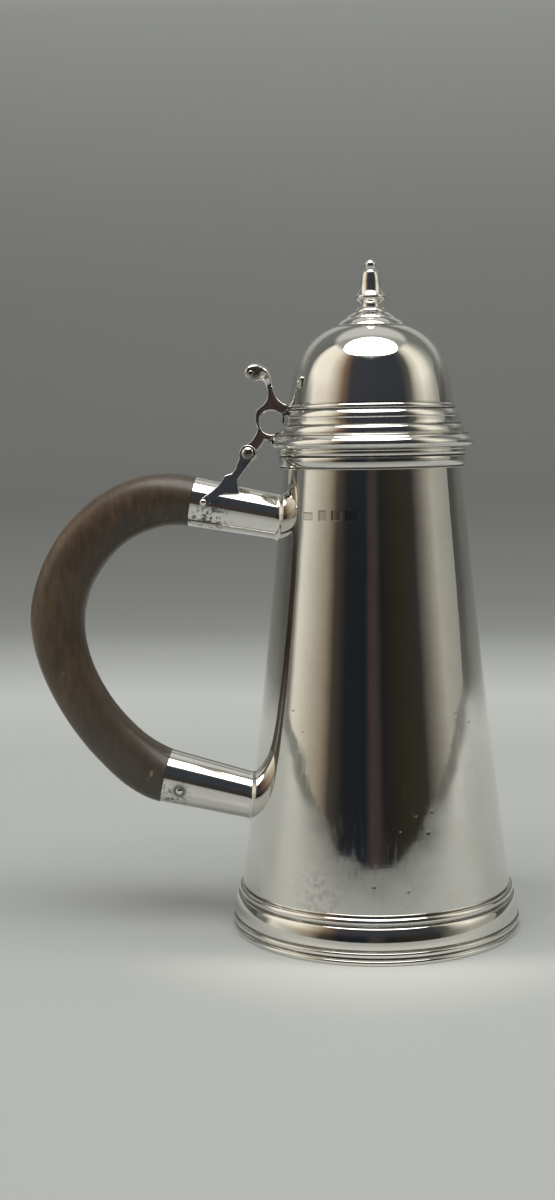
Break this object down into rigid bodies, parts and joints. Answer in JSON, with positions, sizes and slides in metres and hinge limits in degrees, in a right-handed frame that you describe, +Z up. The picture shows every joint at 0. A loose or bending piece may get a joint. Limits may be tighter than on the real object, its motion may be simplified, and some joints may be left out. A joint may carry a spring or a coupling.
{
  "type": "lidded pot",
  "caption": "Tapering lidded silver pot with a domed hinged lid, turned finial, scrolled thumbpiece, moulded foot and a pinned wooden loop handle in two sockets.",
  "frame": {"origin": "on the vessel's axis, in the plane that the foot stands on", "axes": "+Z up along the vessel's axis, the handle points to -X, +Y away from the side shown"},
  "size_m": [0.1778, 0.1052, 0.2398],
  "materials": {
    "silver": "polished, finely scratched",
    "wood": "dark, worn, waxed"
  },
  "bodies": {
    "pot": {"body_shell": "silver", "base_disc": "silver", "foot_ring": "silver", "rim_moulding": "silver", "upper_socket": "silver", "lower_socket": "silver", "upper_handle_pin": "silver", "lower_handle_pin": "silver", "hinge_bracket": "silver", "hinge_pin": "silver", "wooden_handle": "wood"},
    "lid": {"lid_bezel": "silver", "lid_flange": "silver", "lid_dome": "silver", "lid_rose": "silver", "finial": "silver", "finial_washer": "silver", "hinge_arm": "silver", "thumbpiece": "silver"}
  },
  "joints": [
    {"name": "lid_hinge", "type": "hinge", "parent": "pot", "child": "lid", "pos_m": [-0.0443, 0, 0.1722], "axis": [0, -1, 0], "range_deg": [0, 98]}
  ]
}
